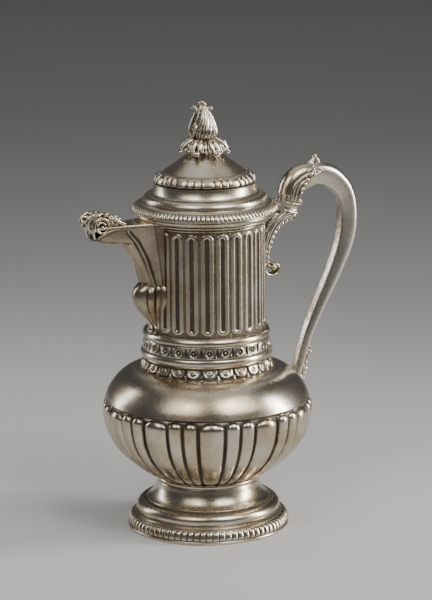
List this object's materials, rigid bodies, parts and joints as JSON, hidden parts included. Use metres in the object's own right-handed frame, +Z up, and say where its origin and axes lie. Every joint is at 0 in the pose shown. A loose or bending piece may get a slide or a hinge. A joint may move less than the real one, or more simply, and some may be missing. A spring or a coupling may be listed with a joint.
{
  "type": "coffee pot",
  "caption": "Tall footed metal coffee pot with a lobed body, fluted neck, beak spout, scroll handle and a hinged domed lid with a bud finial.",
  "frame": {"origin": "centre of the foot's resting ring", "axes": "+Z up the pot's axis, -X towards the spout, +X towards the handle and the lid hinge"},
  "size_m": [0.2074, 0.1384, 0.2834],
  "materials": {
    "silver_body": "satin silver with dark tarnish in the recesses",
    "silver_lid": "satin silver with dark tarnish in the recesses",
    "fastening": "plain turned metal"
  },
  "bodies": {
    "pot": {"foot_border": "silver_body", "foot_shell": "silver_body", "foot_collar": "silver_body", "lower_body": "silver_body", "shoulder": "silver_body", "leaf_band": "silver_body", "lower_neck_torus": "silver_body", "frieze_band": "silver_body", "upper_neck_torus": "silver_body", "neck_tube": "silver_body", "neck_rim": "silver_body", "spout_shell": "silver_body", "spout_cover": "silver_body", "spout_scroll": "silver_body", "spout_boss": "silver_body", "spout_bead": "silver_body", "handle_arch": "silver_body", "handle_socket": "silver_body", "handle_bracket": "silver_body", "handle_leaf": "silver_body", "handle_foot_leaf": "silver_body", "thumb_spur": "silver_body", "pot_knuckles": "silver_body", "hinge_pin": "fastening"},
    "lid": {"lid_border": "silver_lid", "lid_shell": "silver_lid", "lid_band": "silver_lid", "lid_bezel": "silver_lid", "finial_calyx": "silver_lid", "finial_bud": "silver_lid", "finial_stud": "fastening", "finial_nut": "fastening", "finial_washer": "fastening", "lid_knuckle": "silver_lid"}
  },
  "joints": [
    {"name": "lid_hinge", "type": "hinge", "parent": "pot", "child": "lid", "pos_m": [0.0523, 0, 0.2106], "axis": [0, 1, 0], "range_deg": [0, 62]}
  ]
}
